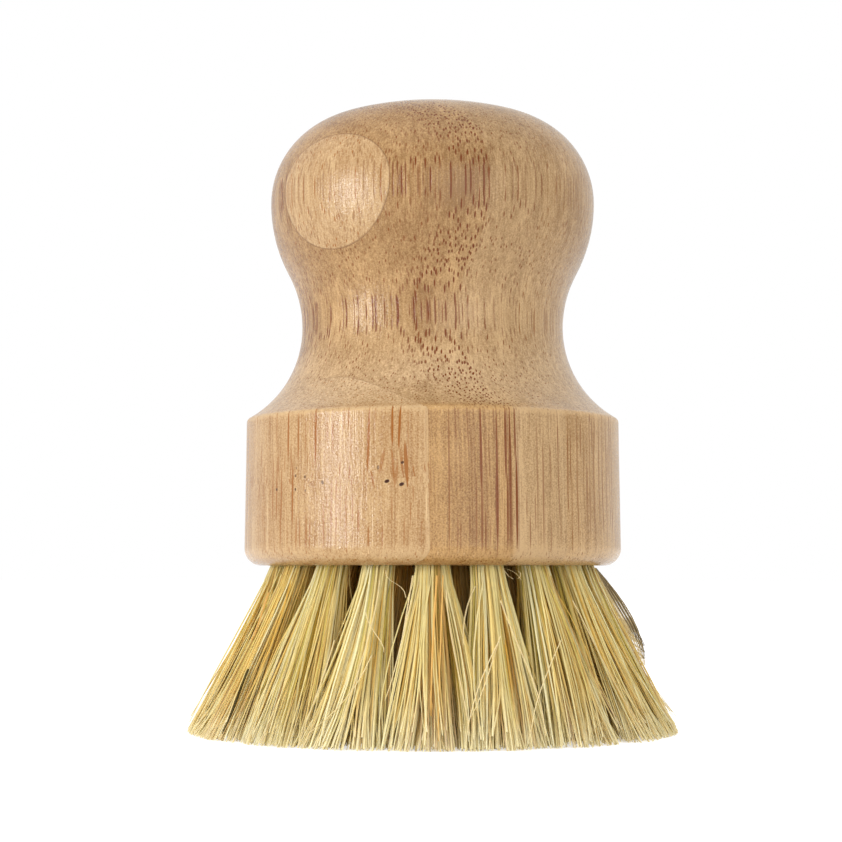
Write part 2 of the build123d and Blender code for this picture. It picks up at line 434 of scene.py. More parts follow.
# Loose fibres that stand out from their tufts: number of the outer tuft, tone, radius in
# millimetres, and four points, each in degrees right of the camera's side, reach and
# height in millimetres
CREAM = linear(246, 230, 182)
GOLD = linear(240, 200, 116)
OLIVE = linear(84, 70, 24)
# SHADED is a darker fibre tone that paints shade
SHADED = linear(150, 130, 96)
LOOSE_STAND_OFF_MM = 1.2
LOOSE_FIBRES = (
    (18, CREAM, 0.08, (-16.7, 21.3, 22.5), (-14.7, 21.9, 21.2), (-11.0, 22.3, 20.4), (-8.6, 23.0, 18.9)),
    (18, CREAM, 0.08, (-19.7, 25.5, 17.1), (-17.2, 26.4, 15.1), (-14.1, 27.1, 13.4), (-12.9, 27.8, 12.1)),
    (18, CREAM, 0.09, (-16.9, 23.6, 21.2), (-17.1, 25.6, 16.7), (-18.6, 28.2, 11.1), (-20.8, 31.2, 4.6)),
    (18, CREAM, 0.08, (-16.1, 27.9, 11.7), (-19.9, 29.9, 7.3), (-24.4, 31.4, 4.2), (-29.5, 32.5, 1.7)),
    (17, CREAM, 0.08, (-27.7, 27.1, 13.5), (-28.7, 29.4, 8.5), (-29.8, 31.1, 4.7), (-30.6, 32.9, 0.8)),
    (1, CREAM, 0.08, (4.1, 24.2, 19.9), (5.2, 27.1, 13.6), (7.1, 29.9, 7.4), (8.2, 32.4, 2.0)),
    (1, CREAM, 0.09, (-6.3, 23.3, 21.8), (-7.1, 24.8, 18.6), (-7.8, 26.0, 15.8), (-8.3, 27.1, 13.6)),
    (1, CREAM, 0.08, (-6.2, 24.7, 18.6), (-7.9, 26.5, 14.8), (-9.4, 28.5, 10.5), (-11.3, 30.5, 6.2)),
    (1, GOLD, 0.13, (1.4, 23.3, 21.8), (0.4, 25.9, 16.1), (-0.2, 28.5, 10.5), (-0.4, 31.3, 4.4)),
    (1, GOLD, 0.11, (3.3, 23.3, 21.8), (2.3, 26.5, 14.8), (1.5, 29.9, 7.4), (1.2, 32.7, 1.4)),
    (2, CREAM, 0.09, (14.4, 22.3, 20.4), (10.5, 23.7, 17.3), (9.0, 25.0, 14.5), (8.7, 25.8, 12.9)),
    (2, CREAM, 0.10, (18.3, 27.1, 13.6), (14.0, 28.5, 10.5), (9.8, 30.5, 6.2), (7.2, 32.8, 1.2)),
    (2, CREAM, 0.08, (18.7, 26.9, 14.1), (15.4, 28.3, 10.8), (11.9, 30.0, 7.2), (8.8, 31.4, 4.3)),
    (2, CREAM, 0.04, (22.0, 22.0, 22.9), (24.4, 24.1, 22.5), (26.3, 24.7, 21.9), (27.5, 24.9, 21.2)),
    (2, CREAM, 0.04, (24.0, 22.5, 22.7), (25.8, 24.5, 21.3), (27.6, 24.7, 21.9), (25.2, 24.3, 22.5)),
    (2, CREAM, 0.09, (20.6, 24.8, 18.6), (23.8, 27.7, 12.3), (26.0, 30.0, 7.3), (25.8, 32.5, 1.8)),
    (3, CREAM, 0.09, (37.6, 27.2, 13.4), (27.1, 30.0, 7.3), (23.8, 31.4, 4.2), (21.4, 32.7, 1.3)),
    (3, CREAM, 0.09, (48.2, 24.8, 18.5), (50.7, 27.2, 13.3), (53.8, 30.2, 6.7), (57.6, 32.3, 2.1)),
    (15, GOLD, 0.17, (-65.3, 24.4, 19.5), (-64.4, 25.3, 17.4), (-63.0, 26.4, 15.0), (-63.0, 27.3, 13.1)),
    (16, OLIVE, 0.16, (-57.3, 29.0, 9.4), (-57.0, 30.0, 7.3), (-56.8, 31.3, 4.3), (-57.1, 32.7, 1.4)),
    (16, OLIVE, 0.14, (-57.7, 29.2, 9.0), (-57.4, 30.2, 6.9), (-57.2, 31.5, 3.9), (-57.2, 32.8, 1.1)),
)

# A lock on the far right bows out past its tuft: reach, height and share of each fibre's
# own bow at four points, in millimetres, and the limits of that bow. Its fibres end at
# staggered heights, and those furthest out take a darker tone that paints shade
BOWED_LOCK_TUFT = 5
BOWED_LOCK_ANGLE = 90.0
BOWED_LOCK_LINE_MM = ((22.9, 22.8, 0.0), (26.2, 18.9, 1.0), (28.6, 14.8, 1.0), (29.8, 9.2, 0.3))
BOWED_LOCK_BOWS_MM = (-2.6, -0.1)
BOWED_LOCK_FIBRES = 26
BOWED_LOCK_RADIUS_MM = 0.09
BOWED_LOCK_ENDS = 4
BOWED_LOCK_END_STEP_MM = 0.9
BOWED_LOCK_SHADED_FROM = 14


# Material helpers

class Graph:
    """A material's node tree, with short calls for the nodes used here."""

    def __init__(self, name):
        self.material = bpy.data.materials.new(name)
        self.material.use_nodes = True
        self.tree = self.material.node_tree
        self.tree.nodes.clear()
        self.output = self.add("ShaderNodeOutputMaterial")

    def add(self, kind, **settings):
        node = self.tree.nodes.new(kind)
        for key, value in settings.items():
            setattr(node, key, value)
        return node

    def set(self, socket, value):
        if isinstance(value, bpy.types.NodeSocket):
            self.tree.links.new(value, socket)
        else:
            socket.default_value = value

    def math(self, operation, first, second=0.0, third=0.0):
        node = self.add("ShaderNodeMath", operation=operation)
        for socket, value in zip(node.inputs, (first, second, third)):
            self.set(socket, value)
        return node.outputs[0]

    def vector(self, operation, first, second=(0.0, 0.0, 0.0)):
        node = self.add("ShaderNodeVectorMath", operation=operation)
        self.set(node.inputs[0], first)
        self.set(node.inputs[1], second)
        return node.outputs["Value" if operation == "LENGTH" else "Vector"]

    def scale(self, vector, factor):
        """A vector or a colour times a number."""
        node = self.add("ShaderNodeVectorMath", operation="SCALE")
        self.set(node.inputs[0], vector)
        self.set(node.inputs["Scale"], factor)
        return node.outputs["Vector"]

    def combine(self, x, y, z):
        node = self.add("ShaderNodeCombineXYZ")
        for socket, value in zip(node.inputs, (x, y, z)):
            self.set(socket, value)
        return node.outputs[0]

    def separate(self, vector):
        node = self.add("ShaderNodeSeparateXYZ")
        self.set(node.inputs[0], vector)
        return node.outputs

    def noise_node(self, vector, scale, detail, roughness):
        node = self.add("ShaderNodeTexNoise")
        self.set(node.inputs["Vector"], vector)
        node.inputs["Scale"].default_value = scale
        node.inputs["Detail"].default_value = detail
        node.inputs["Roughness"].default_value = roughness
        return node

    def noise(self, vector, scale=1.0, detail=2.0, roughness=0.5):
        return self.noise_node(vector, scale, detail, roughness).outputs["Fac"]

    def wander(self, vector, scale, reach):
        """A slow random shift in X and Y, centred on none."""
        colour = self.noise_node(vector, scale, 1.0, 0.5).outputs["Color"]
        shift = self.vector("SUBTRACT", colour, (0.5, 0.5, 0.5))
        return self.vector("MULTIPLY", shift, (reach, reach, 0.0))

    def step(self, value, low, high, at_low=0.0, at_high=1.0):
        """A smooth ramp of value from low to high."""
        node = self.add("ShaderNodeMapRange", interpolation_type="SMOOTHSTEP")
        names = ("Value", "From Min", "From Max", "To Min", "To Max")
        for name, item in zip(names, (value, low, high, at_low, at_high)):
            self.set(node.inputs[name], item)
        return node.outputs[0]

    def mix(self, share, first, second):
        """One colour laid over another by a share."""
        node = self.add("ShaderNodeMix", data_type="RGBA", blend_type="MIX")
        self.set(node.inputs[0], share)
        self.set(node.inputs[6], first if not isinstance(first, list) else (*first, 1.0))
        self.set(node.inputs[7], second if not isinstance(second, list) else (*second, 1.0))
        return node.outputs[2]

    def millimetres(self):
        """The object's own coordinates in millimetres."""
        place = self.add("ShaderNodeTexCoord").outputs["Object"]
        return self.vector("MULTIPLY", place, (1 / MM, 1 / MM, 1 / MM))

    def bump(self, height, strength, depth):
        node = self.add("ShaderNodeBump")
        node.inputs["Strength"].default_value = strength
        node.inputs["Distance"].default_value = depth
        self.set(node.inputs["Height"], height)
        return node.outputs[0]

    def principled(self, colour, roughness, normal=None, specular=0.5, metallic=0.0):
        shader = self.add("ShaderNodeBsdfPrincipled")
        self.set(shader.inputs["Base Color"], colour)
        self.set(shader.inputs["Roughness"], roughness)
        shader.inputs["Specular IOR Level"].default_value = specular
        shader.inputs["Metallic"].default_value = metallic
        if normal is not None:
            self.set(shader.inputs["Normal"], normal)
        return shader.outputs[0]

    def surface(self, shader):
        """Joins a shader to the output and gives the material."""
        self.set(self.output.inputs["Surface"], shader)
        return self.material


# Bamboo

def around_base(graph, place):
    """Millimetres round the base's side from the camera's side, and up: for marks on it."""
    x, y, z = graph.separate(place)
    turn = radians(CAMERA_AZIMUTH)
    x_across = graph.math("MULTIPLY", x, cos(turn))
    y_across = graph.math("MULTIPLY", y, sin(turn))
    x_toward = graph.math("MULTIPLY", x, sin(turn))
    y_away = graph.math("MULTIPLY", y, cos(turn))
    across = graph.math("ADD", x_across, y_across)
    toward = graph.math("SUBTRACT", x_toward, y_away)
    angle = graph.math("ARCTAN2", across, toward)
    return graph.combine(graph.math("MULTIPLY", angle, BASE_RADIUS_MM), z, 0.0)


def marks(graph, spot, rows):
    """Elliptical marks: a mask that is each mark's strength inside it."""
    total = 0.0
    for angle, height, half_width, half_height, slant, strength in rows:
        place = graph.add("ShaderNodeMapping", vector_type="TEXTURE")
        graph.set(place.inputs["Vector"], spot)
        place.inputs["Location"].default_value = (radians(angle) * BASE_RADIUS_MM, height, 0.0)
        place.inputs["Rotation"].default_value = (0.0, 0.0, radians(slant))
        place.inputs["Scale"].default_value = (half_width, half_height, 1.0)
        reach = graph.vector("LENGTH", place.outputs[0])
        total = graph.math("MAXIMUM", total, graph.step(reach, *MARK_EDGE, strength, 0.0))
    return total


def columns(graph, grain, seed, spacing):
    """Random columns along Z: the distance to the nearest in millimetres, and its own chance."""
    cells = graph.add("ShaderNodeTexVoronoi", voronoi_dimensions="2D", feature="F1")
    shifted = graph.vector("ADD", grain, (seed, seed * COLUMN_SEED_SLOPE, 0.0))
    graph.set(cells.inputs["Vector"], shifted)
    cells.inputs["Scale"].default_value = 1 / spacing
    distance = graph.math("MULTIPLY", cells.outputs["Distance"], spacing)
    return distance, graph.separate(cells.outputs["Color"])[0]


def board_grain(graph, place, seed, has_node):
    """The grain's own coordinates, which run along Z and wander a little, and the drift in them."""
    x, y, z = graph.separate(place)
    drift = graph.wander(graph.combine(seed, 0.0, z), DRIFT_SCALE, DRIFT_REACH_MM)
    grain = graph.vector("ADD", graph.combine(x, y, 0.0), drift)
    if not has_node:
        return grain, drift

    # Round a node the grain turns aside, and above it another grain goes on
    from_node = graph.math("SUBTRACT", z, NODE_HEIGHT_MM)
    near = graph.step(graph.math("ABSOLUTE", from_node), *NODE_RAMP)
    swirl = graph.wander(graph.vector("MULTIPLY", place, SWIRL_STRETCH), 1.0, SWIRL_REACH_MM)
    grain = graph.vector("ADD", grain, graph.scale(swirl, near))
    edge = graph.math("MULTIPLY", graph.noise(place, NODE_EDGE_SCALE, 1.0), NODE_EDGE_REACH_MM)
    above = graph.math("GREATER_THAN", graph.math("ADD", from_node, edge), NODE_EDGE_REACH_MM / 2)
    return graph.vector("ADD", grain, graph.scale(NODE_SHIFT_MM, above)), drift


def drawn_out(graph, grain, z, height_share):
    """A place for noise that is drawn out along the grain."""
    x, y, _ = graph.separate(grain)
    return graph.combine(x, y, graph.math("MULTIPLY", z, height_share))


def pores_and_hairs(graph, grain, z, side, amount, seed, side_hair):
    """Shares of the wood that are dark pore, dark hair and pale hair."""
    pore, own = columns(graph, grain, seed, PORE_SPACING_MM)
    pore = graph.step(pore, *PORE_EDGE_RAMP)
    pore = graph.math("MULTIPLY", pore, graph.step(own, *PORE_CHANCE_RAMP))
    pore = graph.math("MULTIPLY", pore, amount)

    # A hair comes and goes along its column
    hair, own = columns(graph, grain, seed + HAIR_SEED_STEP, HAIR_SPACING_MM)
    hair = graph.step(hair, *HAIR_EDGE_RAMP)
    run_seed = graph.math("MULTIPLY", own, HAIR_RUN_SEEDS)
    run = graph.combine(run_seed, 0.0, graph.math("MULTIPLY", z, HAIR_RUN_SCALE))
    run = graph.step(graph.noise(run, 1.0, 0.0), *HAIR_RUN_RAMP)
    run = graph.math("MULTIPLY", run, graph.step(side, 0.0, 1.0, 1.0, side_hair))
    hair = graph.math("MULTIPLY", hair, run)
    pale_hair = graph.math("MULTIPLY", hair, side)
    pale_hair = graph.math("MULTIPLY", pale_hair, graph.step(own, *PALE_HAIR_RAMP))
    dark_hair = graph.math("MULTIPLY", hair, graph.step(own, *DARK_HAIR_RAMP))
    return pore, dark_hair, pale_hair


def glue_lines(graph, colour, y, z, mottle):
    """The colour with the glue film's thin lines on it."""
    for joint, share in GLUE_JOINTS_MM:
        gap = graph.math("ABSOLUTE", graph.math("SUBTRACT", y, joint))
        line = graph.math("MULTIPLY", graph.step(gap, *GLUE_EDGE_RAMP), share)
        line = graph.math("MULTIPLY", line, graph.step(z, *GLUE_HEIGHT_RAMP))
        line = graph.math("MULTIPLY", line, graph.step(mottle, *GLUE_PATCH_RAMP))
        colour = graph.mix(line, colour, GLUE_TONE)
    return colour


def bamboo(
    name,
    dark,
    light,
    stroke_tone,
    pore_tone,
    seed,
    density,
    dense=None,
    aged=0.24,
    side_hair=1.0,
    grey_from=None,
    has_node=False,
    strokes=(),
    pits=(),
):
    """One board: soft streaks between a dark and a light tone, and dark pores, along Z."""
    graph = Graph(name)
    place = graph.millimetres()
    x, y, z = graph.separate(place)
    side = graph.step(graph.vector("LENGTH", graph.combine(x, y, 0.0)), *SIDE_RAMP)
    grain, drift = board_grain(graph, place, seed, has_node)

    # Tone: fine fibres and threads, broad bands, slow changes and specks
    fine = graph.noise(drawn_out(graph, grain, z, FINE_HEIGHT_SHARE), *FINE_NOISE)
    thread = graph.noise(drawn_out(graph, grain, z, THREAD_HEIGHT_SHARE), *THREAD_NOISE)
    bands = drawn_out(graph, grain, z, BAND_HEIGHT_SHARE)
    broad = graph.noise(graph.vector("ADD", bands, (seed, 0.0, 0.0)), *BROAD_NOISE)
    mottle = graph.noise(graph.vector("ADD", place, (0.0, seed, 0.0)), *MOTTLE_NOISE)
    speck = graph.noise(place, *SPECK_NOISE)
    layers = (
        (fine, FINE_WEIGHT),
        (thread, THREAD_WEIGHT),
        (broad, BROAD_WEIGHT),
        (mottle, MOTTLE_WEIGHT),
        (speck, graph.step(side, *SPECK_WEIGHT_RAMP)),
    )
    tone = MIDDLE_TONE
    for layer, weight in layers:
        from_middle = graph.math("SUBTRACT", layer, MIDDLE_TONE)
        tone = graph.math("MULTIPLY_ADD", from_middle, weight, tone)

    # Pores lie in patches, and all over the dense zone
    patch = graph.step(graph.noise(bands, *PATCH_NOISE), *PATCH_RAMP)
    amount = graph.math("MULTIPLY", patch, density)
    upright = UPRIGHT_PORE_SHARE
    if dense:
        rise, fall = dense
        zone = graph.math("MULTIPLY", graph.step(y, *rise), graph.step(y, *fall, 1.0, 0.0))
        amount = graph.math("MAXIMUM", zone, amount)
        upright = graph.step(y, *fall, 1.0, UPRIGHT_PORE_SHARE)
    amount = graph.math("MULTIPLY", amount, graph.step(side, *SIDE_PORE_RAMP))
    amount = graph.math("MULTIPLY", amount, graph.step(z, *LOW_PORE_RAMP))
    for middle in UPRIGHT_HEIGHTS_MM:
        gap = graph.math("ABSOLUTE", graph.math("SUBTRACT", z, middle))
        dashes = graph.step(gap, *UPRIGHT_LIMITS_MM, upright, 0.0)
        amount = graph.math("MAXIMUM", amount, dashes)
        if dense:
            darker = graph.math("MULTIPLY", graph.step(gap, *UPRIGHT_DARK_RAMP), zone)
            tone = graph.math("SUBTRACT", tone, darker)
    pore, dark_hair, pale_hair = pores_and_hairs(graph, grain, z, side, amount, seed, side_hair)

    # The knob has darkened with handling, and the base's edges are paler, partly worn and
    # partly a painted highlight
    worn_and_highlight = graph.math("ADD", graph.step(z, *WORN_HIGHLIGHT_TOP_RAMP), graph.step(z, *WORN_HIGHLIGHT_BOTTOM_RAMP))
    if has_node:
        worn_and_highlight = graph.math("ADD", worn_and_highlight, graph.step(y, *WORN_HIGHLIGHT_JOINT_RAMP))
    worn_and_highlight = graph.math("MULTIPLY", worn_and_highlight, side)
    tone = graph.math("ADD", tone, graph.math("MULTIPLY", worn_and_highlight, WORN_HIGHLIGHT_TONE))
    handled = graph.step(z, *AGED_LIMITS_MM, UNAGED_TONE, UNAGED_TONE - aged)
    tone = graph.math("ADD", tone, handled)

    # Sanded end grain is greyer, and so is part of one board
    sanded = graph.math("MULTIPLY", graph.step(z, *SANDED_FROM_RAMP), graph.step(z, *SANDED_FADE_RAMP))
    if grey_from:
        sanded = graph.math("MAXIMUM", sanded, graph.step(y, *grey_from, 0.0, GREY_SHARE))
        edge = graph.step(y, grey_from[0] - GREY_EDGE_MM, grey_from[0], *GREY_TONES)
        tone = graph.math("ADD", tone, edge)
    colour = graph.mix(tone, dark, light)
    colour = graph.mix(sanded, colour, graph.mix(tone, SANDED_DARK, SANDED_LIGHT))
    colour = graph.mix(pale_hair, colour, PALE_HAIR_TONE)
    colour = graph.mix(dark_hair, colour, stroke_tone)
    colour = graph.mix(pore, colour, pore_tone)

    # Marks of this board's own on the base's side
    hollow = pore
    if strokes:
        drifting = graph.vector("ADD", place, graph.scale(drift, STROKE_DRIFT_SHARE))
        drawn = graph.math("MULTIPLY", marks(graph, around_base(graph, drifting), strokes), side)
        ragged = graph.step(speck, *STROKE_RAGGED_RAMP)
        colour = graph.mix(graph.math("MULTIPLY", drawn, ragged), colour, stroke_tone)
    if pits:
        sunk = graph.math("MULTIPLY", marks(graph, around_base(graph, place), pits), side)
        colour = graph.mix(sunk, colour, PIT_TONE)
        hollow = graph.math("MAXIMUM", hollow, sunk)
    colour = glue_lines(graph, colour, y, z, mottle)

    # Relief of fibres, hollows, sanding marks and threads
    raised = graph.math("MULTIPLY", fine, FINE_RELIEF)
    height = graph.math("SUBTRACT", raised, graph.math("MULTIPLY", hollow, HOLLOW_RELIEF))
    sparkle = graph.noise(place, *SPARKLE_NOISE)
    height = graph.math("MULTIPLY_ADD", sparkle, SPARKLE_RELIEF, height)
    height = graph.math("MULTIPLY_ADD", thread, THREAD_RELIEF, height)
    normal = graph.bump(height, 1.0, RELIEF_DEPTH)
    roughness = graph.step(speck, *WOOD_ROUGHNESS_RAMP)
    return graph.surface(graph.principled(colour, roughness, normal, WOOD_SPECULAR))


def dress_block():
    """Bamboo on the five pieces of the block."""
    woods = {name: bamboo(name, **look) for name, look in BOARD_LOOKS.items()}
    for node, name in BOARD_MATERIALS.items():
        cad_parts[node].material_slots[0].material = woods[name]


def dress_anchors():
    """Bright drawn steel on the flat anchors inside the holes."""
    graph = Graph("anchor_steel")
    stretched = graph.vector("MULTIPLY", graph.millimetres(), BRUSHING_STRETCH)
    brushing = graph.noise(stretched)
    normal = graph.bump(brushing, BRUSHING_STRENGTH, BRUSHING_DEPTH)
    roughness = graph.step(brushing, *STEEL_ROUGHNESS_RAMP)
    steel = graph.surface(graph.principled(STEEL_TONE, roughness, normal, metallic=1.0))
    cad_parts["tuft_anchors"].material_slots[0].material = steel


# Tufts of fibre

def fibre_material():
    """Dry plant fibre: each one has its own tone, with fine variation along it."""
    graph = Graph("plant_fibre")
    tint = graph.add("ShaderNodeVertexColor", layer_name="fibre_tone").outputs["Color"]
    along = graph.vector("MULTIPLY", graph.millimetres(), FIBRE_CHANGE_STRETCH)
    colour = graph.scale(tint, graph.step(graph.noise(along), *FIBRE_CHANGE_RAMP))
    through = graph.add("ShaderNodeBsdfTranslucent")
    graph.set(through.inputs["Color"], colour)
    both = graph.add("ShaderNodeMixShader")
    graph.set(both.inputs[0], FIBRE_TRANSLUCENCY)
    graph.set(both.inputs[1], graph.principled(colour, FIBRE_ROUGHNESS, specular=FIBRE_SPECULAR))
    graph.set(both.inputs[2], through.outputs[0])
    return graph.surface(both.outputs[0])


def spiral(reach, turn):
    """Places in a plane at these reaches and turns."""
    return np.stack([reach * np.cos(turn), reach * np.sin(turn)], 1)


def tuft_paths(ring, splay, rng):
    """Centre lines of one tuft's fibres on the +X side, as an array of fibre, ring, XYZ."""
    count = FIBRES_PER_TUFT
    depths = np.array(FIBRE_DEPTHS)
    down = np.clip(depths, 0, None) / TRIM_HEIGHT

    # The tuft's own line: along its hole, then bending out to its place at the tips
    ring_radius = OUTER_RING_RADIUS * ring / RING_COUNT
    slope = tan(radians(HOLE_TILT_STEP * ring))
    bow = TIP_RING_STEP * ring - ring_radius - slope * TRIM_HEIGHT
    centre = ring_radius + slope * depths + bow * down**BEND_POWER

    # Fibres fill the hole evenly and keep their order as they spread
    order = np.arange(count)
    jitter = rng.uniform(-ROOT_JITTER_RADIANS, ROOT_JITTER_RADIANS, count)
    root = spiral(np.sqrt((order + 0.5) / count), order * GOLDEN_TURN_RADIANS + jitter)
    spread = TIP_SPREAD * rng.uniform(*TIP_SPREAD_LIMITS)
    stray = rng.random(count) < STRAY_SHARE
    scatter = np.where(stray, STRAY_SCATTER, TIP_SCATTER)[:, None]
    tip = root * spread + rng.normal(0, 1, (count, 2)) * scatter
    tip[:, 0] = np.where(tip[:, 0] > 0, tip[:, 0] * OUTWARD_SPREAD_SHARE, tip[:, 0])
    tip[:, 0] = np.minimum(tip[:, 0], OUTWARD_SPREAD_LIMIT)

    # Locks of fibres draw together towards their tips
    lock_order = np.arange(LOCKS_PER_TUFT)
    lock_turn = lock_order * GOLDEN_TURN_RADIANS + rng.uniform(0, 2 * pi)
    lock_reach = spread * np.sqrt((lock_order + LOCK_START) / LOCKS_PER_TUFT) * LOCK_REACH_SHARE
    locks = spiral(lock_reach, lock_turn)
    nearest = np.argmin(((tip[:, None] - locks[None]) ** 2).sum(2), 1)
    pull = rng.uniform(*LOCK_PULL_LIMITS, LOCKS_PER_TUFT)[nearest][:, None]
    tip += (locks[nearest] - tip) * pull

    # The tuft leans a little to one side
    lean = rng.normal(0, LEAN) + (splay, 0)
    start = root * (HOLE_RADIUS - ROOT_WALL_GAP)
    share = down[None, :, None] ** SPREAD_POWER
    sideways = start[:, None] * (1 - share) + tip[:, None] * share + lean * share**LEAN_POWER

    # Every lock and fibre bows and waves a little, and a few stray
    size = np.where(stray, STRAY_BOW, OWN_BOW)[:, None]
    own_bow = rng.normal(0, 1, (count, 2)) * size
    bows = own_bow + rng.normal(0, LOCK_BOW, (LOCKS_PER_TUFT, 2))[nearest]
    bows[:, 0] = np.minimum(bows[:, 0], OUTWARD_BOW_LIMIT)
    sideways += bows[:, None] * (4 * share * (1 - share))
    phase = rng.uniform(0, 2 * pi, (count, 1))
    wave = np.sin(phase + down[None] * rng.uniform(*WAVE_TURN_LIMITS_RADIANS, (count, 1)))
    wave *= rng.uniform(0, WAVE_SIZE, (count, 1))
    wave_turn = rng.uniform(0, 2 * pi, (count, 1))
    sideways[:, :, 0] += wave * np.cos(wave_turn) * down
    sideways[:, :, 1] += wave * np.sin(wave_turn) * down

    # Tips are trimmed to the floor plane, a little ragged
    ragged = np.abs(rng.normal(0, TRIM_RAGGEDNESS, count))
    is_short = rng.random(count) < SHORT_FIBRE_SHARE
    trim = ragged + np.where(is_short, rng.uniform(*SHORT_FIBRE_LIMITS, count), 0)
    scale = 1 - trim / TRIM_HEIGHT
    paths = np.empty((count, len(depths), 3))
    paths[:, :, 0] = centre[None] + sideways[:, :, 0]
    paths[:, :, 1] = sideways[:, :, 1]
    paths[:, :, 2] = TRIM_HEIGHT - np.where(depths > 0, depths[None] * scale[:, None], depths[None])

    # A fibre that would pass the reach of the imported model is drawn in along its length
    reach_limit = TIP_LIMIT - np.abs(rng.normal(0, TIP_LIMIT_VARIATION, count))
    out = np.hypot(paths[:, -1, 0], paths[:, -1, 1])
    excess = np.clip(1 - reach_limit / np.maximum(out, MM), 0, None)
    paths[:, :, :2] *= 1 - (excess[:, None] * down[None] ** DRAW_IN_POWER)[:, :, None]
    return paths, root, nearest


def fibre_tones(ring, root, lock, rng):
    """A tone for every point of a tuft's fibres."""
    shares = np.array([share for share, _ in FIBRE_TONES])
    tones = np.array([tone for _, tone in FIBRE_TONES])
    own = rng.choice(len(tones), FIBRES_PER_TUFT, p=shares / shares.sum())
    shared = rng.choice(len(tones), LOCKS_PER_TUFT, p=shares / shares.sum())[lock]
    picked = tones[np.where(rng.random(FIBRES_PER_TUFT) < LOCK_TONE_SHARE, shared, own)]
    picked *= rng.uniform(*TONE_LIMITS, (FIBRES_PER_TUFT, 1))

    # Inside a tuft and on its inner side the gold is deeper, as painted shade, down to near the tips
    inside = (INSIDE_SHADE_FROM - np.hypot(root[:, 0], root[:, 1])) / INSIDE_SHADE_FADE
    behind_shade = (BEHIND_SHADE_FROM - root[:, 0]) / BEHIND_SHADE_FADE
    shade_share = np.clip(np.maximum(inside, behind_shade), 0, 1)[:, None, None]
    down = np.clip(np.array(FIBRE_DEPTHS) / TRIM_HEIGHT, 0, 1)[None, :, None]
    fade = 1 - SHADE_TIP_FADE * down**2
    points = picked[:, None] * (1 - shade_share * fade * (1 - np.array(INSIDE_SHADE_TINT)))
    # In the inner rings the fibres darken to brown towards the root: painted shade between the tufts
    if ring < RING_COUNT:
        points *= 1 - (1 - down) * (1 - np.array(ROOT_SHADE_TINT))
    # Tips fade towards a pale tone: partly the cut ends' own colour, partly painted light
    points += (np.array(TIP_TONE) - points) * TIP_PALE_SHARE * down**TIP_PALE_POWER
    return np.minimum(points, BRIGHTEST_TONE)


def bowed_lock():
    """Rows of loose fibres for the lock that bows out past the tuft on the far right."""
    rows = []
    for index, bow in enumerate(np.linspace(*BOWED_LOCK_BOWS_MM, BOWED_LOCK_FIBRES)):
        group = index % BOWED_LOCK_ENDS
        line = [
            (BOWED_LOCK_ANGLE, reach + share * bow, height)
            for reach, height, share in BOWED_LOCK_LINE_MM
        ]
        angle, reach, height = line.pop()
        line.append((angle, reach, height + BOWED_LOCK_END_STEP_MM * group))
        # Painted shade: the lock's outer fibres take the darker SHADED tone
        tone = SHADED if index >= BOWED_LOCK_SHADED_FROM and group else CREAM
        rows.append((BOWED_LOCK_TUFT, tone, BOWED_LOCK_RADIUS_MM, *line))
    return rows


def loose_paths(rows):
    """Paths of the loose fibres, each a smooth line through its four points."""
    turn_to_camera = radians(CAMERA_AZIMUTH)
    paths = []
    for _, _, _, *points in rows:
        places = []
        for angle, reach, height in points:
            turn = radians(CAMERA_AZIMUTH - 90 + angle)
            x = reach * cos(turn) + LOOSE_STAND_OFF_MM * sin(turn_to_camera)
            y = reach * sin(turn) - LOOSE_STAND_OFF_MM * cos(turn_to_camera)
            places.append((x * MM, y * MM, height * MM))
        steps = np.linspace(0, 1, len(places))
        shape = np.polyfit(steps, np.array(places), len(places) - 1)
        at = np.linspace(0, 1, len(FIBRE_DEPTHS))[:, None]
        paths.append(sum(row * at ** (len(places) - 1 - power) for power, row in enumerate(shape)))
    return np.array(paths)


def tube_mesh(name, paths, radii, turns, tones):
    """Flat-sided fibres along the paths, closed at both ends, with a tone at every point."""
    count, rings, _ = paths.shape
    sides = np.arange(FIBRE_SIDES) * 2 * pi / FIBRE_SIDES + turns[:, None]
    offset = np.stack([np.cos(sides), np.sin(sides), np.zeros(sides.shape)], 2)
    points = paths[:, :, None] + offset[:, None] * radii[:, :, None, None]
    points = points.reshape(-1, 3)

    ring_order = np.arange(count * rings).reshape(count, rings)
    ring_start = ring_order[:, :-1].reshape(-1, 1) * FIBRE_SIDES
    side = np.arange(FIBRE_SIDES)[None]
    after = (side + 1) % FIBRE_SIDES
    below = ring_start + FIBRE_SIDES
    corners = [ring_start + side, below + side, below + after, ring_start + after]
    walls = np.stack(corners, 2).reshape(-1, FIBRE_SIDES)
    first = np.arange(count)[:, None] * rings * FIBRE_SIDES
    roots = first + side
    tips = first + (rings - 1) * FIBRE_SIDES + side[:, ::-1]
    faces = np.concatenate([walls, roots, tips])

    mesh = bpy.data.meshes.new(name)
    mesh.from_pydata(points.tolist(), [], faces.tolist())
    layer = mesh.color_attributes.new("fibre_tone", "FLOAT_COLOR", "POINT")
    tone = np.repeat(tones.reshape(-1, 3), FIBRE_SIDES, axis=0)
    tone = np.concatenate([tone, np.ones((len(tone), 1))], 1)
    layer.data.foreach_set("color", tone.astype(np.float32).ravel())
    return mesh


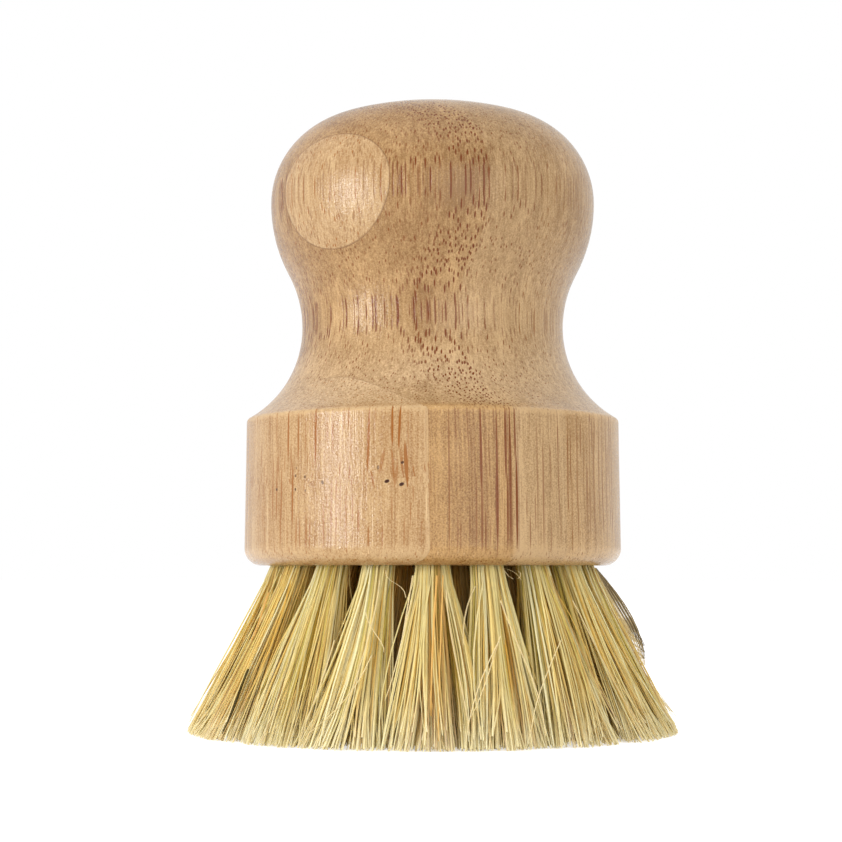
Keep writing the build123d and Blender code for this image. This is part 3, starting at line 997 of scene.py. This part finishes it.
def tuft_mesh(node, ring, index, count):
    """The fibres of one tuft, with the loose ones that belong to it."""
    rng = np.random.default_rng(SEEDS_PER_RING * ring + index)
    paths, root, lock = tuft_paths(ring, SPLAYED_TUFTS.get(node, 0), rng)
    step = 360 / count
    turn = radians(FIRST_TUFT_ANGLE + step * (RING_STAGGER_SHARE * (RING_COUNT - ring) + index))
    x, y = paths[:, :, 0].copy(), paths[:, :, 1].copy()
    paths[:, :, 0] = x * cos(turn) - y * sin(turn)
    paths[:, :, 1] = x * sin(turn) + y * cos(turn)
    radii = FIBRE_RADIUS * rng.lognormal(0, FIBRE_RADIUS_VARIATION, (FIBRES_PER_TUFT, 1))
    tones = fibre_tones(ring, root, lock, rng)
    loose = [row for row in (*LOOSE_FIBRES, *bowed_lock()) if node == f"tuft_outer_{row[0]:02}"]
    if loose:
        paths = np.concatenate([paths, loose_paths(loose)])
        radii = np.concatenate([radii, [[row[2] * MM] for row in loose]])
        own = np.array([row[1] for row in loose])
        tones = np.concatenate([tones, np.repeat(own[:, None], len(FIBRE_DEPTHS), axis=1)])
    down = np.clip(np.array(FIBRE_DEPTHS) / TRIM_HEIGHT, 0, 1)[None]
    taper = 1 - TIP_TAPER * down**TIP_TAPER_POWER
    turns = rng.uniform(0, pi, len(paths))
    return tube_mesh(f"{node}_fibres", paths, radii * taper, turns, tones)


def make_tufts():
    """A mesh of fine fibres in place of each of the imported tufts."""
    material = fibre_material()
    for ring, ring_name in enumerate(RING_NAMES):
        count = TUFTS_PER_RING_STEP * ring or 1
        for index in range(count):
            node = f"tuft_{ring_name}_{index + 1:02}" if ring else "tuft_centre"
            mesh = tuft_mesh(node, ring, index, count)
            mesh.materials.append(material)
            piece = bpy.data.objects.new(f"{node}_fibres", mesh)
            bpy.context.scene.collection.objects.link(piece)
            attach(piece, "root")
            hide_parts(node)


# Stage

def seen_directly(graph):
    """1 for rays that show the background itself: straight, mirrored or through glass."""
    rays = graph.add("ShaderNodeLightPath").outputs
    seen = graph.math("MAXIMUM", rays["Is Camera Ray"], rays["Is Glossy Ray"])
    return graph.math("MAXIMUM", seen, rays["Is Transmission Ray"])


class WorldGraph(Graph):
    """The world's node tree, with the same calls."""

    def __init__(self, world):
        world.use_nodes = True
        self.tree = world.node_tree
        self.tree.nodes.clear()
        self.output = self.add("ShaderNodeOutputWorld")


def make_room():
    """White where it is seen, and an even soft light on the object."""
    world = bpy.data.worlds.new("pale_room")
    bpy.context.scene.world = world
    graph = WorldGraph(world)
    background = graph.add("ShaderNodeBackground")
    background.inputs["Color"].default_value = WHITE
    strength = graph.step(seen_directly(graph), 0.0, 1.0, WORLD_LIGHT, 1.0)
    graph.set(background.inputs["Strength"], strength)
    graph.set(graph.output.inputs["Surface"], background.outputs[0])


def make_floor():
    """A plain pale floor that reads white and keeps the brush's shadow."""
    graph = Graph("pale_floor")
    plain = graph.add("ShaderNodeBsdfDiffuse")
    plain.inputs["Color"].default_value = FLOOR_TONE
    glow = graph.add("ShaderNodeEmission")
    glow.inputs["Color"].default_value = WHITE
    graph.set(glow.inputs["Strength"], graph.math("MULTIPLY", seen_directly(graph), FLOOR_GLOW))
    both = graph.add("ShaderNodeAddShader")
    graph.set(both.inputs[0], plain.outputs[0])
    graph.set(both.inputs[1], glow.outputs[0])
    mesh = bpy.data.meshes.new("floor")
    half = FLOOR_SIZE / 2
    corners = [(-half, -half, 0), (half, -half, 0), (half, half, 0), (-half, half, 0)]
    mesh.from_pydata(corners, [], [(0, 1, 2, 3)])
    mesh.materials.append(graph.surface(both.outputs[0]))
    floor = bpy.data.objects.new("floor", mesh)
    bpy.context.scene.collection.objects.link(floor)


def make_lamps():
    """Soft rectangular lamps that look at the brush."""
    for name, (azimuth, elevation, width, height, power) in LAMPS.items():
        lamp = bpy.data.lights.new(name, "AREA")
        lamp.shape = "RECTANGLE"
        lamp.size = width
        lamp.size_y = height
        lamp.energy = power
        around, up = radians(azimuth), radians(elevation)
        toward = Vector((sin(around) * cos(up), -cos(around) * cos(up), sin(up)))
        holder = bpy.data.objects.new(name, lamp)
        holder.location = Vector((0, 0, LAMP_AIM_HEIGHT)) + toward * LAMP_DISTANCE
        holder.rotation_euler = (-toward).to_track_quat("-Z", "Y").to_euler()
        bpy.context.scene.collection.objects.link(holder)


def make_camera():
    """The photograph's view."""
    data = bpy.data.cameras.new("camera")
    data.lens = CAMERA_LENS_MM
    data.sensor_width = CAMERA_SENSOR_MM
    data.clip_start = CAMERA_CLIP_START
    camera = bpy.data.objects.new("camera", data)
    around = radians(CAMERA_AZIMUTH)
    pitch = radians(90 + CAMERA_PITCH)
    turn = radians(CAMERA_AZIMUTH + CAMERA_YAW)
    camera.location = (CAMERA_DISTANCE * sin(around), -CAMERA_DISTANCE * cos(around), CAMERA_HEIGHT)
    camera.rotation_euler = Euler((pitch, 0, turn))
    bpy.context.scene.collection.objects.link(camera)
    bpy.context.scene.camera = camera


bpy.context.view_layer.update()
make_camera()
make_room()
make_floor()
make_lamps()
dress_block()
dress_anchors()
make_tufts()
bpy.context.scene.view_settings.view_transform = "Standard"
